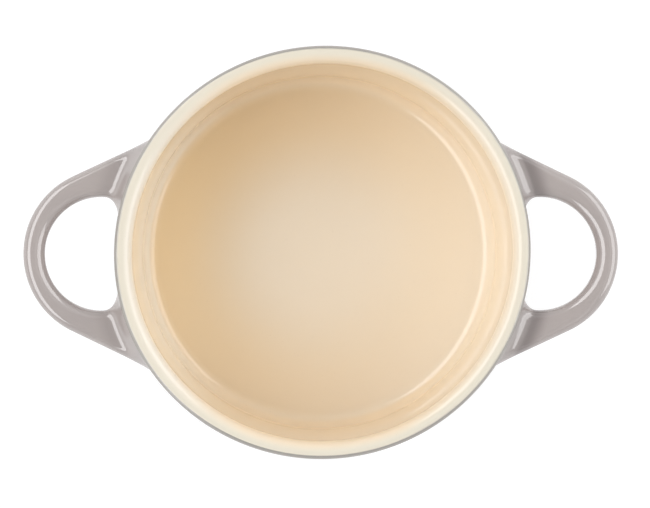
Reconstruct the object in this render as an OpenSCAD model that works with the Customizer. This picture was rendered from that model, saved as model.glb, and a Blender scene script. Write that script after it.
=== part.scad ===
// Small round stoneware pot with two loop handles, glazed cream inside and grey outside.
// Millimetres, +Z up. The origin is the middle of the foot ring, on the table. The handles lie along X.

/* [Pot] */
// Outside diameter of the rim
rim_d = 100; // [84:1:130]
// Height from the table to the top of the rim
pot_h = 52; // [44:1:80]
// Wall thickness at the rim, with both glazes
wall_t = 4.3; // [3.8:0.1:6]
// Floor thickness above the foot ring, with both glazes
floor_t = 5; // [3.5:0.1:8]
// Lean of the outside wall from upright, in degrees
outer_lean = 2.5; // [1:0.1:4]
// Lean of the inside wall from upright, in degrees
inner_lean = 2.5; // [1:0.1:3.5]
// Radius of the outside bottom edge
outer_bottom_r = 10; // [7:0.5:14]
// Radius between the inside wall and the floor
inner_bottom_r = 4.2; // [3:0.1:9]

/* [Rim] */
// Rounding of the outer edge of the rim
rim_outer_r = 1.1; // [0.8:0.1:1.6]
// Width of the narrow flat on top, from which the rim rounds down to the inside wall
rim_flat = 0.3; // [0.2:0.1:1.2]
// Angle above level, round the outer edge, where the cream glaze meets the grey one
glaze_seam = 70; // [20:5:80]

/* [Foot] */
// Step from the bottom edge in to the foot ring
foot_inset = 1.3; // [0.6:0.1:4]
// Width of the foot ring
foot_w = 3.4; // [2.5:0.1:6]
// Height of the foot ring
foot_h = 2; // [1.5:0.1:4]
// Rounding of the foot ring's edges
foot_edge_r = 0.7; // [0.3:0.1:1]

/* [Glaze] */
// Thickness of each glaze coat
glaze_t = 0.4; // [0.2:0.05:0.6]

/* [Handles] */
// Reach of a handle past the rim
handle_reach = 22.3; // [20:0.1:32]
// Width of the bar at the tip
handle_tip_w = 5.2; // [4:0.1:7]
// Radius of the outer edge round the tip
handle_outer_r = 20.6; // [18:0.2:24]
// Radius of the finger hole
handle_hole_r = 13.7; // [11:0.1:15]
// Angle round the tip at which the outer edge runs straight to the wall
handle_straight_from = 65; // [55:1:75]
// Drop from the rim to the handle's top face at the wall
handle_drop = 6; // [5.5:0.1:14]
// Thickness of the handle at the wall
handle_root_t = 8.4; // [6:0.1:11]
// Thickness of the handle at the tip
handle_tip_t = 6; // [5:0.1:8]
// Upward tilt of the handle, in degrees
handle_tilt = 6; // [0:0.5:10]
// Rounding of the handle's edges
handle_edge_r = 2.1; // [1.5:0.1:2.6]
// Radius of the fillet from the handle to the wall
root_fillet = 5; // [3:0.1:5.5]
// Flare of the handle's outer edge along the wall
root_flare = 1.2; // [0.5:0.1:2.5]
// Flare of the finger hole's edge along the wall
hole_flare = 8; // [5:0.5:10]

/* [Hidden] */
$fn = 128;
// Steps in each arc of the pot's profile
arc_steps = 10;
// Steps in each rounded corner of the handle's section, and across its top and bottom flats
corner_steps = 5;
flat_steps = 4;
// Ribs round the tip, along the straight edge and up the root fillet
tip_ribs = 12;
edge_ribs = 7;
fillet_ribs = 7;
// Turn of the root fillet at which it runs into the wall, just short of its tangent
fillet_turn = 80;
// Share of the clay wall that the handle's raw end runs into before it is cut to the wall
raw_end = 0.4;
// Most of the half width and of the half height of a handle's section that its rounded corners take
corner_share = 0.98;

rim_r = rim_d / 2;
rim_inner_r = wall_t - rim_flat - rim_outer_r;
floor_z = foot_h + floor_t;
rim_outer_c = [rim_r - rim_outer_r, pot_h - rim_outer_r];
rim_inner_c = [rim_r - wall_t + rim_inner_r, pot_h - rim_inner_r];

// Radius of the outside wall at height z, at a depth below the glazed surface
function outer_wall(z, depth) =
    rim_outer_c.x + (rim_outer_r - depth + sin(outer_lean) * (z - rim_outer_c.y)) / cos(outer_lean);

// Radius of the glazed inside wall at height z
function inner_wall(z) =
    rim_inner_c.x + (sin(inner_lean) * (z - rim_inner_c.y) - rim_inner_r) / cos(inner_lean);

outer_bottom_z = foot_h + outer_bottom_r;
outer_bottom_c = [outer_wall(outer_bottom_z, outer_bottom_r), outer_bottom_z];
inner_bottom_z = floor_z + inner_bottom_r;
inner_bottom_c = [inner_wall(inner_bottom_z) - inner_bottom_r / cos(inner_lean), inner_bottom_z];
foot_outer = outer_bottom_c.x - foot_inset;
foot_inner = foot_outer - foot_w;

function polar(r, a) = [r * cos(a), r * sin(a)];
function arc(c, r, from, to) = [for (i = [0:arc_steps]) c + polar(r, from + (to - from) * i / arc_steps)];
function reversed(list) = [for (i = [len(list) - 1:-1:0]) list[i]];

// Inside surface from the axis up over the rim to the glaze seam, at a depth below the glaze
function inside_path(depth) = concat(
    [[0, floor_z - depth]],
    arc(inner_bottom_c, inner_bottom_r + depth, -90, -inner_lean),
    arc(rim_inner_c, rim_inner_r - depth, 180 - inner_lean, 90),
    arc(rim_outer_c, rim_outer_r - depth, 90, glaze_seam));

// Outside surface from the glaze seam down to the foot ring, at a depth below the glaze
function outside_path(depth) = concat(
    arc(rim_outer_c, rim_outer_r - depth, glaze_seam, -outer_lean),
    arc(outer_bottom_c, outer_bottom_r - depth, -outer_lean, -90),
    [[foot_outer, foot_h + depth]]);

foot_path = concat(
    arc([foot_outer - foot_edge_r, foot_edge_r], foot_edge_r, 0, -90),
    arc([foot_inner + foot_edge_r, foot_edge_r], foot_edge_r, 270, 180),
    [[foot_inner, foot_h + glaze_t], [0, foot_h + glaze_t]]);

module vessel() {
    color("#d8c4a2")
        rotate_extrude()
            polygon(concat(inside_path(glaze_t), outside_path(glaze_t), foot_path));
}

module inner_glaze() {
    color("#eed9b4")
        rotate_extrude()
            polygon(concat(inside_path(0), reversed(inside_path(glaze_t))));
}

// The coat lies on the clay wall and stops at the root of each handle, which is joined clay to clay
module outer_glaze() {
    color("#b4aca9")
        difference() {
            rotate_extrude()
                polygon(concat(outside_path(0), reversed(outside_path(glaze_t))));
            for (turn = [0, 180], side = [1, -1])
                rotate([0, 0, turn])
                    handle_root(side);
        }
}

module base_glaze() {
    color("#b4aca9")
        translate([0, 0, foot_h])
            cylinder(h = glaze_t, r = foot_inner);
}

// Handle plan, for the half on the +Y side of a handle that points along +X
handle_mid_z = pot_h - handle_drop - handle_root_t / 2;
root_r = outer_wall(handle_mid_z, 0);
tip_x = rim_r + handle_reach;
hole_c = [tip_x - handle_tip_w - handle_hole_r, 0];
edge_c = [tip_x - handle_outer_r, 0];
fillet_r = root_r + root_fillet;

// The outer edge leaves its arc along a straight line, which is this far from the pot's axis
edge_start = edge_c + polar(handle_outer_r, handle_straight_from);
edge_distance = edge_c.x * cos(handle_straight_from) + handle_outer_r;
function edge_turn(r) = handle_straight_from - acos(edge_distance / r);
edge_end = polar(fillet_r, edge_turn(fillet_r));

// The hole's arc turns square to the wall, or stops where the root fillet starts
hole_line_x = sqrt(pow(fillet_r, 2) - pow(handle_hole_r, 2));
hole_turn = hole_c.x > hole_line_x ? 90
    : acos((pow(fillet_r, 2) - pow(hole_c.x, 2) - pow(handle_hole_r, 2)) / (2 * hole_c.x * handle_hole_r));
hole_line = max(0, hole_c.x - hole_line_x);
hole_arc = handle_hole_r * (hole_turn - handle_straight_from) * PI / 180;

// Point on the hole's edge at a distance along it from the rib where the outer edge turns straight
function hole_point(s) = s < hole_arc
    ? hole_c + polar(handle_hole_r, handle_straight_from + s / handle_hole_r * 180 / PI)
    : hole_c + polar(handle_hole_r, hole_turn) - [s - hole_arc, 0];
hole_end = hole_point(hole_arc + hole_line);

function mix(a, b, t) = a + (b - a) * t;
function midpoint(a, b) = (a + b) / 2;
function bow_of(a, b, r) = r - norm(midpoint(a, b));

// Height of the handle's middle and half of its thickness, at a distance from the pot's axis
function middle_z(r) = handle_mid_z + tan(handle_tilt) * (r - root_r);
function half_t(r) = mix(handle_root_t, handle_tip_t, (r - root_r) / (tip_x - root_r)) / 2;

// Rounded bar section of width w and half height h, as [distance from the inner edge, height]
function bar_section(w, h, r) = [
    for (q = [0:3])
        let (
            c = [q == 0 || q == 3 ? w - r : r, q < 2 ? h - r : r - h],
            flat = w - 2 * r,
            run = q == 0 ? -flat : flat
        )
        each concat(
            [for (i = [0:corner_steps]) c + polar(r, 90 * (q + i / corner_steps))],
            q % 2 == 1 ? [] : [for (i = [1:flat_steps - 1])
                c + polar(r, 90 * (q + 1)) + [run * i / flat_steps, 0]])];

// One ring of the handle's surface: the section stood on a rib from the hole to the outer edge.
// The rib bows out to follow the wall, and the ring leans with the wall as far as lean says.
function ring(hole, edge, bow, swell, lean) =
    let (
        w = norm(edge - hole),
        out = midpoint(hole, edge) / norm(midpoint(hole, edge)),
        h = half_t(norm(midpoint(hole, edge))) + swell,
        r = min(handle_edge_r + swell, corner_share * w / 2, corner_share * h)
    )
    [for (p = bar_section(w, h, r))
        let (
            share = p.x / w,
            flat = mix(hole, edge, share) + out * bow * 4 * share * (1 - share),
            z = middle_z(norm(flat)) + p.y,
            plan = flat + out * lean * tan(outer_lean) * (z - handle_mid_z)
        )
        [plan.x, plan.y, z]];

// Ring on the root fillet, where the section swells as it nears the wall
function fillet_ring(turn, r) =
    let (
        swell = root_fillet * (1 - cos(turn)),
        hole = polar(r, asin(hole_end.y / r) - hole_flare * (1 - cos(turn)) / r * 180 / PI),
        edge = polar(r, edge_turn(r) + root_flare * (1 - cos(turn)) / r * 180 / PI)
    )
    ring(hole, edge, bow_of(hole, edge, r), swell, 1);

function tip_ring(i) =
    let (a = handle_straight_from * i / tip_ribs)
    ring(hole_c + polar(handle_hole_r, a), edge_c + polar(handle_outer_r, a), 0, 0, 0);

function edge_ring(t) =
    ring(hole_point(t * (hole_arc + hole_line)), mix(edge_start, edge_end, t),
        t * bow_of(hole_end, edge_end, fillet_r), 0, t);

wall_end = fillet_ring(fillet_turn, root_r + root_fillet * (1 - sin(fillet_turn)));
raw_end_ring = fillet_ring(fillet_turn, root_r - raw_end * wall_t);
half_rings = concat(
    [for (i = [0:tip_ribs]) tip_ring(i)],
    [for (i = [1:edge_ribs]) edge_ring(i / edge_ribs)],
    [for (i = [1:fillet_ribs - 1])
        let (turn = fillet_turn * i / fillet_ribs)
        fillet_ring(turn, root_r + root_fillet * (1 - sin(turn)))],
    [wall_end, raw_end_ring]);

function other_side(rings) = [for (one = rings) [for (p = one) [p.x, -p.y, p.z]]];

// Closed surface through a row of rings
module skin(rings) {
    n = len(rings[0]);
    last = n * (len(rings) - 1);
    polyhedron(
        points = [for (one = rings) each one],
        faces = concat(
            [for (i = [0:len(rings) - 2], j = [0:n - 1])
                let (
                    a = i * n + j,
                    b = i * n + (j + 1) % n
                )
                each [[a, b + n, b], [a, a + n, b + n]]],
            [for (j = [1:n - 2]) each [[0, j, j + 1], [last, last + j + 1, last + j]]]));
}

module handle_loop() {
    skin(concat(reversed(half_rings), other_side([for (i = [1:len(half_rings) - 1]) half_rings[i]])));
}

// The end of a handle where it passes through the outside glaze to the clay
module handle_root(side) {
    rings = [fillet_ring(fillet_turn, fillet_r), raw_end_ring];
    skin(side > 0 ? reversed(rings) : other_side(rings));
}

// The handle's raw ends are cut to the leaning clay wall
module handle() {
    color("#b4aca9")
        difference() {
            handle_loop();
            cylinder(h = pot_h, r1 = outer_wall(0, glaze_t), r2 = outer_wall(pot_h, glaze_t));
        }
}

module right_handle() {
    handle();
}

module left_handle() {
    rotate([0, 0, 180])
        handle();
}

vessel();
inner_glaze();
outer_glaze();
base_glaze();
right_handle();
left_handle();
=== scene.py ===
"""Looks of a small round stoneware pot with two loop handles: cream glaze inside, grey glaze outside.

Metres, +Z up. The origin is the middle of the foot ring, on the table, and the handles lie along X.
"""

import math

import bpy
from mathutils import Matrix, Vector


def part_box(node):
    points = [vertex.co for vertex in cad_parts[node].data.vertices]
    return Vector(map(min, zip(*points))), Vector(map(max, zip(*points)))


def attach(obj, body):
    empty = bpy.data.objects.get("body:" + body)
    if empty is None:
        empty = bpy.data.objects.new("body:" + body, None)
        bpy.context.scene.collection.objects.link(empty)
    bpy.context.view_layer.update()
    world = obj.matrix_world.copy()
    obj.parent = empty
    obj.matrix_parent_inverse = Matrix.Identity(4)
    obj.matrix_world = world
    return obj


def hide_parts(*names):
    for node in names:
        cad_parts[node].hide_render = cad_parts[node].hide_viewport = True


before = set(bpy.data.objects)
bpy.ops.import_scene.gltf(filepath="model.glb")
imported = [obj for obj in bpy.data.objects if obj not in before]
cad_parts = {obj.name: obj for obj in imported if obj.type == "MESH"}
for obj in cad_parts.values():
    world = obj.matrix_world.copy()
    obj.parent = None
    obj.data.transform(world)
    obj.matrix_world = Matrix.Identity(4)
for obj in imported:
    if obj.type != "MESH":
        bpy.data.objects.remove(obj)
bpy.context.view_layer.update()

MM = 0.001
QUARTER = math.pi / 2
BODY = "root"

# Sizes that the frame gives
GLAZE_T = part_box("base_glaze")[1].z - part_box("base_glaze")[0].z
FOOT_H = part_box("base_glaze")[0].z
FOOT_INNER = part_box("base_glaze")[1].x
FLOOR_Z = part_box("inner_glaze")[0].z + GLAZE_T
POT_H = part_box("inner_glaze")[1].z
RIM_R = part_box("outer_glaze")[1].y
TIP_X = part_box("right_handle")[1].x

# Sizes of the pot that the boxes don't show
WALL_T = 4.3 * MM
OUTER_LEAN = math.radians(2.5)
INNER_LEAN = math.radians(2.5)
OUTER_BOTTOM_R = 10 * MM
INNER_BOTTOM_R = 4.2 * MM
RIM_OUTER_R = 1.1 * MM
RIM_FLAT = 0.3 * MM
RIM_INNER_R = WALL_T - RIM_FLAT - RIM_OUTER_R
FOOT_W = 3.4 * MM
FOOT_EDGE_R = 0.7 * MM

# The line where the two glazes meet wanders a little round the rim
SEAM = math.radians(66)
SEAM_WANDER = math.radians(6)
SEAM_LOWEST = math.radians(50)

# The fired pot is a little out of round: widest along one direction, and with three faint lobes
OUT_OF_ROUND = 0.35 * MM
WIDEST = math.radians(27)
LOBES = 0.08 * MM

# Sizes of a handle. Its outer edge is an arc up to one turn of the loop, and straight from there to the root
HANDLE_TIP_W = 5.2 * MM
HANDLE_OUTER_R = 20.6 * MM
HANDLE_HOLE_R = 13.7 * MM
HANDLE_STRAIGHT = math.radians(65)
HANDLE_DROP = 6 * MM
HANDLE_ROOT_T = 8.4 * MM
HANDLE_TIP_T = 6 * MM
HANDLE_TILT = math.radians(6)
HANDLE_EDGE_R = 2.1 * MM
ROOT_FILLET = 5 * MM
ROOT_RISE = 3.8 * MM
ROOT_FLARE = 1.2 * MM
HOLE_FLARE = 8 * MM

# A corner of the bar is this much wider than high, and takes at most this share of half the bar
EDGE_SPREAD = 1.24
CORNER_SHARE = 0.98

# Where the left root bends to its slope, as a share of its fillet, and how softly
LEFT_BEND = 0.55
LEFT_BEND_SOFT = 0.25

# As made, the right handle is pressed on a little deeper, and both sit a little to the front
RIGHT_PRESSED = 0.64 * MM
HANDLES_FORWARD = 0.3 * MM

# Fineness of the meshes
SEGMENTS = 288
ARC_STEPS = 30
WALL_STEPS = 14
CORNER_STEPS = 10
FLAT_STEPS = 8
TIP_RIBS = 36
EDGE_RIBS = 18
FILLET_RIBS = 28
SHARP_EDGE = math.radians(50)

rim_outer_centre = (RIM_R - RIM_OUTER_R, POT_H - RIM_OUTER_R)
rim_inner_centre = (RIM_R - WALL_T + RIM_INNER_R, POT_H - RIM_INNER_R)


def outer_wall(z, depth=0.0):
    """Radius of the outside wall at height z, at a depth below the glazed surface."""
    rise = math.sin(OUTER_LEAN) * (z - rim_outer_centre[1])
    return rim_outer_centre[0] + (RIM_OUTER_R - depth + rise) / math.cos(OUTER_LEAN)


def inner_wall(z):
    """Radius of the glazed inside wall at height z."""
    rise = math.sin(INNER_LEAN) * (z - rim_inner_centre[1])
    return rim_inner_centre[0] + (rise - RIM_INNER_R) / math.cos(INNER_LEAN)


outer_bottom_z = FOOT_H + OUTER_BOTTOM_R
outer_bottom_centre = (outer_wall(outer_bottom_z, OUTER_BOTTOM_R), outer_bottom_z)
inner_bottom_z = FLOOR_Z + INNER_BOTTOM_R
inner_bottom_r = inner_wall(inner_bottom_z) - INNER_BOTTOM_R / math.cos(INNER_LEAN)
inner_bottom_centre = (inner_bottom_r, inner_bottom_z)
foot_outer = FOOT_INNER + FOOT_W


def mix(a, b, t):
    return a + (b - a) * t


def polar(centre, r, angle):
    return Vector((centre[0] + r * math.cos(angle), centre[1] + r * math.sin(angle)))


def shares(steps):
    """From 0 to 1 in steps that are finer at both ends, so that arcs and straight runs shade as one."""
    return [(1 - math.cos(math.pi * i / steps)) / 2 for i in range(steps + 1)]


def arc(centre, r, start, end, steps=ARC_STEPS):
    return [polar(centre, r, mix(start, end, share)) for share in shares(steps)]


def joined(*stretches, steps=WALL_STEPS):
    """One path through some stretches, with the straight run between each two cut into steps."""
    path = list(stretches[0])
    for stretch in stretches[1:]:
        start = path[-1]
        path += [start.lerp(stretch[0], share) for share in shares(steps)[1:-1]]
        path += stretch
    return path


def inside_path(depth, seam):
    """From the axis over the floor, up the wall and over the rim to the glaze seam."""
    return joined(
        [Vector((0, FLOOR_Z - depth))],
        arc(inner_bottom_centre, INNER_BOTTOM_R + depth, -QUARTER, -INNER_LEAN),
        arc(rim_inner_centre, RIM_INNER_R - depth, math.pi - INNER_LEAN, QUARTER),
        arc(rim_outer_centre, RIM_OUTER_R - depth, QUARTER, seam),
    )


def outside_path(depth, seam):
    """From the glaze seam down the wall and in to the foot ring."""
    return joined(
        arc(rim_outer_centre, RIM_OUTER_R - depth, seam, -OUTER_LEAN),
        arc(outer_bottom_centre, OUTER_BOTTOM_R - depth, -OUTER_LEAN, -QUARTER),
        [Vector((foot_outer, FOOT_H + depth))],
    )


def foot_path():
    """Round the foot ring and in to the axis, under the floor."""
    top = FOOT_H + GLAZE_T
    return joined(
        arc((foot_outer - FOOT_EDGE_R, FOOT_EDGE_R), FOOT_EDGE_R, 0, -QUARTER),
        arc((FOOT_INNER + FOOT_EDGE_R, FOOT_EDGE_R), FOOT_EDGE_R, 3 * QUARTER, math.pi),
        [Vector((FOOT_INNER, top))],
        [Vector((0, top))],
    )


def seam_at(turn):
    """Angle of the glaze seam on the rim's outer edge, at a turn round the pot."""
    return SEAM - SEAM_WANDER * (math.cos(turn - SEAM_LOWEST) + math.cos(2 * turn))


def fired(point):
    """A point as the kiln left it: out of round at the rim, and true on the axis and at the tips."""
    x, y, z = point
    r = math.hypot(x, y)
    if r == 0:
        return point
    share = min(r / RIM_R, (TIP_X - r) / (TIP_X - RIM_R)) * z / POT_H
    angle = math.atan2(y, x)
    push = share * (OUT_OF_ROUND * math.cos(2 * (angle - WIDEST)) - LOBES * math.cos(3 * angle))
    return (x * (1 + push / r), y * (1 + push / r), z)


def make_piece(name, points, faces, material, slot, *nodes):
    """A smooth mesh that stands for the given nodes of the frame."""
    mesh = bpy.data.meshes.new(name)
    mesh.from_pydata([fired(p) for p in points], [], faces)
    mesh.validate()
    mesh.shade_smooth()
    mesh.set_sharp_from_angle(angle=SHARP_EDGE)
    mesh.materials.append(material)
    piece = bpy.data.objects.new(name, mesh)
    bpy.context.scene.collection.objects.link(piece)
    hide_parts(*nodes)
    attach(piece, BODY)


def lathe(profile):
    """Points and faces of a closed profile turned round Z. The profile is a function of the turn."""
    points = []
    columns = []
    for j in range(SEGMENTS):
        turn = math.tau * j / SEGMENTS
        column = []
        for i, (r, z) in enumerate(profile(turn)):
            if r == 0 and j > 0:
                column.append(columns[0][i])
                continue
            column.append(len(points))
            points.append((r * math.cos(turn), r * math.sin(turn), z))
        columns.append(column)
    faces = []
    for j in range(SEGMENTS):
        this, after = columns[j], columns[(j + 1) % SEGMENTS]
        for i in range(len(this)):
            k = (i + 1) % len(this)
            corners = [this[i], after[i], after[k], this[k]]
            face = list(dict.fromkeys(corners))
            if len(face) > 2:
                faces.append(face)
    return points, faces


def shell(path):
    """Closed profile of a glaze coat that follows a path."""
    return lambda turn: path(0, seam_at(turn)) + path(GLAZE_T, seam_at(turn))[::-1]


def clay_profile(turn):
    return inside_path(GLAZE_T, seam_at(turn)) + outside_path(GLAZE_T, seam_at(turn))[1:] + foot_path()


def base_profile(turn):
    low = [Vector((0, FOOT_H)), Vector((FOOT_INNER, FOOT_H))]
    return low + [Vector((p.x, FOOT_H + GLAZE_T)) for p in low[::-1]]


# A handle that points along +X, for the half on its +Y side
handle_mid_z = POT_H - HANDLE_DROP - HANDLE_ROOT_T / 2
root_r = outer_wall(handle_mid_z)
fillet_r = root_r + ROOT_FILLET
hole_centre = Vector((TIP_X - HANDLE_TIP_W - HANDLE_HOLE_R, 0))
edge_centre = Vector((TIP_X - HANDLE_OUTER_R, 0))
edge_start = polar(edge_centre, HANDLE_OUTER_R, HANDLE_STRAIGHT)
# How far the line of the straight edge passes from the pot's axis
edge_distance = edge_centre.x * math.cos(HANDLE_STRAIGHT) + HANDLE_OUTER_R


def edge_turn(r):
    return HANDLE_STRAIGHT - math.acos(edge_distance / r)


def round_axis(r, angle):
    return polar((0, 0), r, angle)


edge_end = round_axis(fillet_r, edge_turn(fillet_r))
hole_turn = math.acos(
    (fillet_r**2 - hole_centre.x**2 - HANDLE_HOLE_R**2) / (2 * hole_centre.x * HANDLE_HOLE_R)
)
hole_end = polar(hole_centre, HANDLE_HOLE_R, hole_turn)


def middle_z(r):
    return handle_mid_z + math.tan(HANDLE_TILT) * (r - root_r)


def half_t(r):
    return mix(HANDLE_ROOT_T, HANDLE_TIP_T, (r - root_r) / (TIP_X - root_r)) / 2


def bar_section(w, h, across, r):
    """Bar of width w and half height h with rounded corners, as distances from the hole and heights."""
    corners = [(w - across, h - r), (across, h - r), (across, r - h), (w - across, r - h)]
    stretches = []
    for q, (x, z) in enumerate(corners):
        turns = arc((0, 0), 1, QUARTER * q, QUARTER * (q + 1), CORNER_STEPS)
        stretches.append([Vector((x + across * c.x, z + r * c.y)) for c in turns])
    return joined(*stretches, stretches[0][:1], steps=FLAT_STEPS)[:-1]


def ring(hole, edge, bow, swell, lean):
    """The section stood on a rib from the hole to the outer edge, which bows out to follow the wall."""
    middle = (hole + edge) / 2
    out = middle.normalized()
    w = (edge - hole).length
    h = half_t(middle.length) + swell
    r = min(HANDLE_EDGE_R + swell, CORNER_SHARE * w / 2, CORNER_SHARE * h)
    across = min(EDGE_SPREAD * r, CORNER_SHARE * w / 2)
    points = []
    for along, height in bar_section(w, h, across, r):
        share = along / w
        flat = hole.lerp(edge, share) + out * bow * 4 * share * (1 - share)
        z = middle_z(flat.length) + height
        plan = flat + out * lean * math.tan(OUTER_LEAN) * (z - handle_mid_z)
        points.append((plan.x, plan.y, z))
    return points


def bow_of(hole, edge, r):
    return r - ((hole + edge) / 2).length


def bend(t):
    """Nearly level below 0 and a straight slope above it, with a soft bend between."""
    return t + math.hypot(t, LEFT_BEND_SOFT)


def left_rise(turn):
    """Share of the left root's rise at a turn of its fillet: nearly level, then a slope to the wall."""
    start = bend(-LEFT_BEND)
    return (bend(math.sin(turn) - LEFT_BEND) - start) / (bend(1 - LEFT_BEND) - start)


def fillet_ring(side, turn, r):
    """Ring on the root fillet, where the section swells as it nears the wall."""
    rise = 1 - math.cos(turn)
    swell = ROOT_RISE * (rise if side > 0 else left_rise(turn))
    hole = round_axis(r, math.asin(hole_end.y / r) - HOLE_FLARE * rise / r)
    edge = round_axis(r, edge_turn(r) + ROOT_FLARE * rise / r)
    return ring(hole, edge, bow_of(hole, edge, r), swell, 1)


def half_handle(side):
    """Rings from the tip along the loop and the fillet to the clay."""
    rings = []
    for i in range(TIP_RIBS + 1):
        turn = HANDLE_STRAIGHT * i / TIP_RIBS
        hole = polar(hole_centre, HANDLE_HOLE_R, turn)
        edge = polar(edge_centre, HANDLE_OUTER_R, turn)
        rings.append(ring(hole, edge, 0, 0, 0))
    for i in range(1, EDGE_RIBS + 1):
        t = i / EDGE_RIBS
        hole = polar(hole_centre, HANDLE_HOLE_R, mix(HANDLE_STRAIGHT, hole_turn, t))
        bow = t * bow_of(hole_end, edge_end, fillet_r)
        rings.append(ring(hole, edge_start.lerp(edge_end, t), bow, 0, t))
    for i in range(1, FILLET_RIBS + 1):
        turn = QUARTER * i / FILLET_RIBS
        rings.append(fillet_ring(side, turn, root_r + ROOT_FILLET * (1 - math.sin(turn))))
    rings.append(fillet_ring(side, QUARTER, root_r - GLAZE_T))
    return rings


def handle_mesh(side):
    """Points and faces of a handle on the +X side, or on the -X side with side -1."""
    half = half_handle(side)
    rings = half[::-1] + [[(x, -y, z) for x, y, z in one] for one in half[1:]]
    n = len(rings[0])
    pressed = RIGHT_PRESSED if side > 0 else 0
    points = [(side * x - pressed, side * y - HANDLES_FORWARD, z) for one in rings for x, y, z in one]
    faces = [list(range(n))[::-1], [len(points) - n + i for i in range(n)]]
    for i in range(len(rings) - 1):
        for j in range(n):
            k = (j + 1) % n
            faces.append([i * n + j, i * n + k, (i + 1) * n + k, (i + 1) * n + j])
    return points, faces


# Ranges of a noise that make soft patches, streaks, rare specks and sand
CLOUD_NOISE = (0.3, 0.7)
STREAK_NOISE = (0.35, 0.7)
SPECK_NOISE = (0.71, 0.78)
SAND_NOISE = (0.64, 0.72)


class Nodes:
    """The node tree of a new material or world, with a short way to add and link nodes."""

    def __init__(self, owner):
        owner.use_nodes = True
        self.owner = owner
        self.tree = owner.node_tree

    def add(self, kind, links=None, **settings):
        node = self.tree.nodes.new("ShaderNode" + kind)
        for key, value in settings.items():
            setattr(node, key, value)
        for key, value in (links or {}).items():
            self.put(node, key, value)
        return node

    def put(self, node, key, value):
        """Links an output to an input, or sets the input's own value."""
        if isinstance(value, bpy.types.NodeSocket):
            self.tree.links.new(value, node.inputs[key])
        else:
            node.inputs[key].default_value = value

    def maths(self, operation, a, b=0.0):
        return self.add("Math", {0: a, 1: b}, operation=operation).outputs[0]

    def times(self, a, b):
        return self.maths("MULTIPLY", a, b)

    def span(self, value, low, high, to_low=0.0, to_high=1.0, kind="SMOOTHSTEP"):
        """Takes the range from low to high to another range, and holds it at both ends."""
        node = self.add(
            "MapRange",
            {"Value": value, "From Min": low, "From Max": high, "To Min": to_low, "To Max": to_high},
            interpolation_type=kind,
        )
        return node.outputs["Result"]

    def seen_directly(self):
        """1 for camera, glossy and transmission rays, and 0 for the rays that carry light."""
        path = self.add("LightPath").outputs
        seen = self.maths("MAXIMUM", path["Is Camera Ray"], path["Is Glossy Ray"])
        return self.maths("MAXIMUM", seen, path["Is Transmission Ray"])


class Paint(Nodes):
    """The nodes of a new material on the pot, in the pot's own coordinates."""

    def __init__(self, name):
        super().__init__(bpy.data.materials.new(name))
        self.shader = self.tree.nodes["Principled BSDF"]
        self.place = self.add("TexCoord").outputs["Object"]

    def set(self, key, value):
        self.put(self.shader, key, value)

    def noise(self, size, detail=2.0, place=None):
        """Noise from 0 to 1 with features of about a size in metres."""
        node = self.add("TexNoise", {"Vector": place or self.place, "Scale": 1 / size, "Detail": detail})
        return node.outputs["Fac"]

    def clouds(self, size, detail=3.0, to_low=0.0, to_high=1.0):
        """Soft patches of about a size in metres."""
        return self.span(self.noise(size, detail), *CLOUD_NOISE, to_low, to_high)

    def blend(self, factor, a, b):
        return self.add("Mix", {0: factor, 6: a, 7: b}, data_type="RGBA").outputs[2]

    def axis(self, name):
        return self.add("SeparateXYZ", {0: self.place}).outputs[name]

    def radius(self):
        """Distance from the pot's axis, with most of the rim's out-of-round taken off."""
        level = self.add("VectorMath", {0: self.place, 1: (1, 1, 0)}, operation="MULTIPLY")
        length = self.add("VectorMath", {0: level.outputs["Vector"]}, operation="LENGTH")
        angle = self.maths("ARCTAN2", self.axis("Y"), self.axis("X"))
        twice = self.times(self.maths("SUBTRACT", angle, WIDEST), 2.0)
        push = self.times(self.maths("COSINE", twice), OUT_OF_ROUND)
        return self.maths("SUBTRACT", length.outputs["Value"], push)

    def bump(self, height, distance):
        node = self.add("Bump", {"Height": height, "Distance": distance})
        self.set("Normal", node.outputs["Normal"])


def rgb(red, green, blue):
    return (red, green, blue, 1.0)


def neutral(level):
    return rgb(level, level, level)


# What both glazes share
IRON_SPECK = rgb(0.30, 0.21, 0.13)
SPECK_SHARE = 0.08
UNWORN_SHARE = 0.7


def glaze(paint, colour, ior, dullest, relief, depth):
    """A glassy coat with a faint relief, specks of iron from the clay and patches of wear."""
    specks = paint.span(paint.noise(size=0.5 * MM, detail=1.0), *SPECK_NOISE)
    paint.set("Base Color", paint.blend(paint.times(specks, SPECK_SHARE), colour, IRON_SPECK))
    worn = paint.noise(size=9 * MM, detail=3.0)
    paint.set("Roughness", paint.span(worn, *STREAK_NOISE, UNWORN_SHARE * dullest, dullest))
    paint.set("IOR", ior)
    paint.bump(relief, depth)
    return paint.owner


# Cream glaze, inside
CREAM = rgb(0.93, 0.832, 0.692)
CREAM_CLOUD = rgb(0.925, 0.822, 0.677)
CREAM_RINGS = rgb(0.94, 0.87, 0.74)
# Painted shade: the inside wall a deeper orange than the floor
CREAM_PAINTED_WALL_SHADE = rgb(0.955, 0.80, 0.60)
# Painted light: the wall paler on its left and right, where the lamps light it
CREAM_PAINTED_SIDE_LIGHT = rgb(0.955, 0.885, 0.765)
# Painted shade round the edge of the floor
CREAM_PAINTED_SHADE = rgb(0.92, 0.72, 0.45)
CREAM_RIM = rgb(0.82, 0.76, 0.635)
CREAM_SEAM = rgb(0.50, 0.46, 0.41)
CREAM_IOR = 1.65
CREAM_DULLEST = 0.03
CREAM_RELIEF = 0.004 * MM
RINGS_SHARE = 0.3
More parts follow.
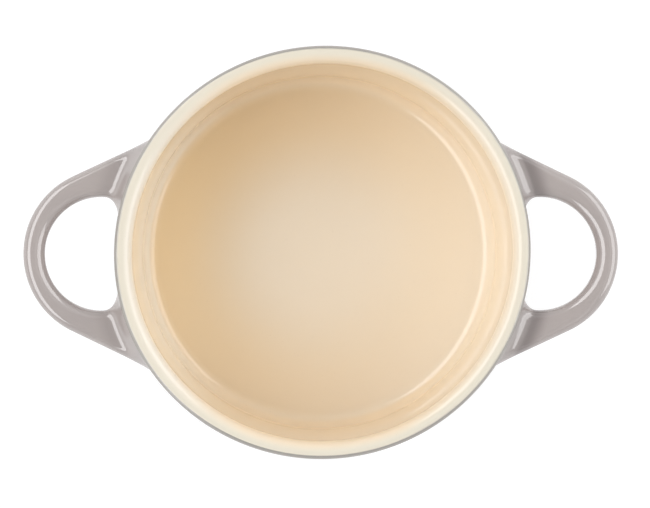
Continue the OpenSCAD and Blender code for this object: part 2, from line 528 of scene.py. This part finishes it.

# Heights, distances along X and radii between which its colour changes: painted shade on the wall, painted
# light on the wall's left and right sides, and the thinning over the rim
PAINTED_WALL_SHADE_HEIGHTS = (FLOOR_Z + 0.1 * MM, FLOOR_Z + 1.2 * MM)
LEFT_PAINTED_LIGHT = (-42 * MM, -18 * MM)
RIGHT_PAINTED_LIGHT = (18 * MM, 42 * MM)
RIGHT_PAINTED_LIGHT_SHARE = 0.45
RIM_TINT = (RIM_R - WALL_T + 0.6 * MM, RIM_R - WALL_T + 3 * MM)
SEAM_TINT = (RIM_R - 0.9 * MM, RIM_R - 0.3 * MM)
LIP_WANDER = 0.3 * MM

# Painted shade between these radii of the floor, strongest on the side towards the key light, where the wall
# shades the floor from it
PAINTED_SHADE_RADII = (11 * MM, 35 * MM)
PAINTED_SHADE_TOWARDS = math.radians(157)
PAINTED_SHADE_SIDE = (math.cos(PAINTED_SHADE_TOWARDS), math.sin(PAINTED_SHADE_TOWARDS), 0)
PAINTED_SHADE_REACH = 38 * MM
PAINTED_SHADE_LEAST = 0.02

# Between these heights the steep foot of the wall, which would mostly mirror itself, mirrors less
STRIP_START = (FLOOR_Z + 2.6 * MM, FLOOR_Z + 3.6 * MM)
STRIP_END = (FLOOR_Z + 5 * MM, FLOOR_Z + 7 * MM)
MIRROR = 0.5
STRIP_MIRROR = 0.03


def cream_material():
    """Cream with painted shade round the edge of the floor and on the wall, painted light on the wall's left
    and right sides, and thinning over the rim towards the seam.
    """
    paint = Paint("cream_glaze")
    out = paint.radius()
    height = paint.axis("Z")
    side = paint.axis("X")
    cream = paint.blend(paint.clouds(size=26 * MM), CREAM, CREAM_CLOUD)
    level = paint.add("CombineXYZ", {"Z": height}).outputs["Vector"]
    rings = paint.noise(size=7 * MM, detail=0.0, place=level)
    cream = paint.blend(paint.span(rings, *STREAK_NOISE, 0.0, RINGS_SHARE), cream, CREAM_RINGS)
    # Painted shade on the wall, from a little above the floor upwards
    wall = paint.span(height, *PAINTED_WALL_SHADE_HEIGHTS)
    cream = paint.blend(wall, cream, CREAM_PAINTED_WALL_SHADE)
    # Painted light on the wall's left and right sides, full on the left and weaker on the right
    left = paint.span(side, *LEFT_PAINTED_LIGHT, 1.0, 0.0)
    right = paint.span(side, *RIGHT_PAINTED_LIGHT, 0.0, RIGHT_PAINTED_LIGHT_SHARE)
    cream = paint.blend(paint.times(wall, paint.maths("ADD", left, right)), cream, CREAM_PAINTED_SIDE_LIGHT)
    # Painted shade round the edge of the floor, strongest on the side where the wall shades the floor from
    # the key light
    edge = paint.times(paint.span(out, *PAINTED_SHADE_RADII), paint.maths("SUBTRACT", 1.0, wall))
    across = paint.add("VectorMath", {0: paint.place, 1: PAINTED_SHADE_SIDE}, operation="DOT_PRODUCT")
    depth = paint.span(across.outputs["Value"], -PAINTED_SHADE_REACH, PAINTED_SHADE_REACH, PAINTED_SHADE_LEAST, 1.0, "LINEAR")
    cream = paint.blend(paint.times(edge, depth), cream, CREAM_PAINTED_SHADE)
    lip = paint.maths("ADD", out, paint.times(paint.noise(size=7 * MM), LIP_WANDER))
    cream = paint.blend(paint.span(lip, *RIM_TINT), cream, CREAM_RIM)
    cream = paint.blend(paint.span(lip, *SEAM_TINT), cream, CREAM_SEAM)
    below = paint.span(height, *STRIP_START, MIRROR, STRIP_MIRROR)
    above = paint.span(height, *STRIP_END, STRIP_MIRROR, MIRROR)
    paint.set("Specular IOR Level", paint.maths("MAXIMUM", below, above))
    return glaze(paint, cream, CREAM_IOR, CREAM_DULLEST, rings, CREAM_RELIEF)


# Grey glaze, outside
GREY = rgb(0.455, 0.40, 0.38)
GREY_CLOUD = rgb(0.425, 0.375, 0.36)
# Painted shade for the handles' roots
GREY_PAINTED_SHADE = rgb(0.29, 0.25, 0.24)
GREY_RIM = rgb(0.37, 0.345, 0.31)
GREY_IOR = 2.15
GREY_DULLEST = 0.115
GREY_RELIEF = 0.003 * MM

# Painted shade between these radii round the roots of the handles, where the rim's shadow falls; and the
# glaze thins between these heights
PAINTED_ROOT_SHADE_START = (fillet_r - 2.4 * MM, fillet_r - 1.2 * MM)
PAINTED_ROOT_SHADE_END = (fillet_r - 0.6 * MM, fillet_r + 3 * MM)
LEFT_PAINTED_SHADE_SHARE = 0.25
GREY_THIN = (POT_H - 1.8 * MM, POT_H - 0.9 * MM)


def grey_material():
    """Mauve grey with painted shade round the handles' roots, most on the right where the rim's shadow
    falls, and thinning at the rim.
    """
    paint = Paint("grey_glaze")
    out = paint.radius()
    grey = paint.blend(paint.clouds(size=14 * MM), GREY, GREY_CLOUD)
    # Painted shade round the handles' roots, strongest on the right, where the rim's shadow falls
    painted_shade = paint.times(paint.span(out, *PAINTED_ROOT_SHADE_START), paint.span(out, *PAINTED_ROOT_SHADE_END, 1.0, 0.0))
    share = paint.span(paint.axis("X"), -RIM_R, RIM_R, LEFT_PAINTED_SHADE_SHARE, 1.0)
    grey = paint.blend(paint.times(painted_shade, share), grey, GREY_PAINTED_SHADE)
    grey = paint.blend(paint.span(paint.axis("Z"), *GREY_THIN), grey, GREY_RIM)
    return glaze(paint, grey, GREY_IOR, GREY_DULLEST, paint.noise(size=12 * MM), GREY_RELIEF)


# Bare clay, under the glazes and on the foot ring
CLAY = rgb(0.70, 0.58, 0.40)
CLAY_CLOUD = rgb(0.60, 0.48, 0.32)
CLAY_SPECK = rgb(0.28, 0.18, 0.11)
CLAY_SMOOTHEST = 0.75
CLAY_ROUGHEST = 0.95
CLAY_RELIEF = 0.06 * MM


def clay_material():
    """Bare fired stoneware: warm, matte, with sand and specks."""
    paint = Paint("clay")
    clay = paint.blend(paint.clouds(size=8 * MM, detail=4.0), CLAY, CLAY_CLOUD)
    specks = paint.span(paint.noise(size=0.6 * MM), *SAND_NOISE)
    paint.set("Base Color", paint.blend(specks, clay, CLAY_SPECK))
    sand = paint.clouds(size=1.5 * MM, to_low=CLAY_SMOOTHEST, to_high=CLAY_ROUGHEST)
    paint.set("Roughness", sand)
    paint.bump(paint.noise(size=0.4 * MM, detail=4.0), CLAY_RELIEF)
    return paint.owner


cream = cream_material()
grey = grey_material()
clay = clay_material()

make_piece("clay_pot", *lathe(clay_profile), clay, "clay", "vessel")
make_piece("inside_glaze", *lathe(shell(inside_path)), cream, "cream_glaze", "inner_glaze")
make_piece("outside_glaze", *lathe(shell(outside_path)), grey, "grey_glaze", "outer_glaze")
make_piece("underside_glaze", *lathe(base_profile), grey, "grey_glaze", "base_glaze")
make_piece("handle_right", *handle_mesh(1), grey, "grey_glaze", "right_handle")
make_piece("handle_left", *handle_mesh(-1), grey, "grey_glaze", "left_handle")

# Studio floor: its colour for the light it bounces, and the shade and glow that make it white to look at
FLOOR_SIZE = 6.0
FLOOR_COLOUR = neutral(0.85)
FLOOR_SHADE = neutral(0.3)
FLOOR_GLOW = 0.8

# Light from all round, and the brightness of the ceiling to look at, where the walls have 1
AMBIENT = 0.33
CEILING = 0.3
WHITE = neutral(1)

# Where the studio's walls end and its ceiling starts, as the sine of the angle of view from the pot
WALL_TOP = 0.15
CEILING_EDGE = 0.55


def floor_material():
    """Pale floor that shows white with the pot's soft shadow, and bounces light as a pale floor does."""
    nodes = Nodes(bpy.data.materials.new("floor"))
    nodes.tree.nodes.remove(nodes.tree.nodes["Principled BSDF"])
    plain = nodes.add("BsdfDiffuse", {"Color": FLOOR_COLOUR}).outputs[0]
    shade = nodes.add("BsdfDiffuse", {"Color": FLOOR_SHADE}).outputs[0]
    glow = nodes.add("Emission", {"Strength": FLOOR_GLOW}).outputs[0]
    white = nodes.add("AddShader", {0: shade, 1: glow}).outputs[0]
    pick = nodes.add("MixShader", {0: nodes.seen_directly(), 1: plain, 2: white})
    nodes.put(nodes.tree.nodes["Material Output"], "Surface", pick.outputs[0])
    return nodes.owner


def make_floor():
    half = FLOOR_SIZE / 2
    corners = [(-half, -half, 0), (half, -half, 0), (half, half, 0), (-half, half, 0)]
    mesh = bpy.data.meshes.new("floor")
    mesh.from_pydata(corners, [], [[0, 1, 2, 3]])
    mesh.materials.append(floor_material())
    floor = bpy.data.objects.new("floor", mesh)
    bpy.context.scene.collection.objects.link(floor)


def make_world():
    """White round the horizon and dimmer overhead, with an even light of its own for the object."""
    nodes = Nodes(bpy.data.worlds.new("studio"))
    way = nodes.add("TexCoord").outputs["Generated"]
    up = nodes.add("SeparateXYZ", {0: way}).outputs["Z"]
    view = nodes.span(up, WALL_TOP, CEILING_EDGE, 1.0, CEILING, "LINEAR")
    strength = nodes.add("Mix", {"Factor": nodes.seen_directly(), "A": AMBIENT, "B": view})
    background = nodes.tree.nodes["Background"]
    nodes.put(background, "Color", WHITE)
    nodes.put(background, "Strength", strength.outputs["Result"])
    bpy.context.scene.world = nodes.owner


LIGHT_DISTANCE = 0.9


def make_light(name, azimuth, elevation, width, height, brightness):
    """Soft box that faces the pot. Brightness is its radiance: 1 is a white wall in plain light."""
    lamp = bpy.data.lights.new(name, "AREA")
    lamp.shape = "RECTANGLE"
    lamp.size = width
    lamp.size_y = height
    lamp.energy = brightness * math.pi * width * height
    light = bpy.data.objects.new(name, lamp)
    bpy.context.scene.collection.objects.link(light)
    a = math.radians(azimuth)
    e = math.radians(elevation)
    towards = Vector((math.cos(e) * math.cos(a), math.cos(e) * math.sin(a), math.sin(e)))
    light.location = Vector((0, 0, POT_H)) + towards * LIGHT_DISTANCE
    light.rotation_euler = towards.to_track_quat("Z", "Y").to_euler()


make_floor()
make_world()
make_light("key_light", azimuth=178, elevation=47, width=1.8, height=0.5, brightness=2.45)
make_light("fill_light", azimuth=12, elevation=35, width=1.1, height=0.55, brightness=1.75)
make_light("fill_glow", azimuth=12, elevation=42, width=1.8, height=1.2, brightness=0.25)
make_light("back_light", azimuth=90, elevation=45, width=0.9, height=0.4, brightness=0.35)
make_light("front_light", azimuth=280, elevation=45, width=0.9, height=0.4, brightness=0.34)
make_light("top_light", azimuth=0, elevation=90, width=0.9, height=0.9, brightness=0.1)

# Camera
CAMERA_DISTANCE = 1.1
CAMERA_LEAN = math.radians(1.1)

# The photograph's size and its rim's middle and radius, in pixels
IMAGE_W = 650
IMAGE_H = 508
RIM_PIXEL = (322.9, 252.4)
RIM_PIXEL_R = 207.8


def make_camera():
    """Camera over the pot, a little to -X of it, with the rim where the photograph has it."""
    data = bpy.data.cameras.new("camera")
    camera = bpy.data.objects.new("camera", data)
    bpy.context.scene.collection.objects.link(camera)
    pixel = RIM_R / RIM_PIXEL_R
    data.lens = data.sensor_width * CAMERA_DISTANCE / (IMAGE_W * pixel)
    aim = Vector(((IMAGE_W / 2 - RIM_PIXEL[0]) * pixel, (RIM_PIXEL[1] - IMAGE_H / 2) * pixel, POT_H))
    back = Vector((-math.sin(CAMERA_LEAN), 0, math.cos(CAMERA_LEAN)))
    camera.location = aim + back * CAMERA_DISTANCE
    camera.rotation_euler = (0, -CAMERA_LEAN, 0)
    bpy.context.scene.camera = camera


make_camera()
bpy.context.scene.view_settings.view_transform = "Standard"
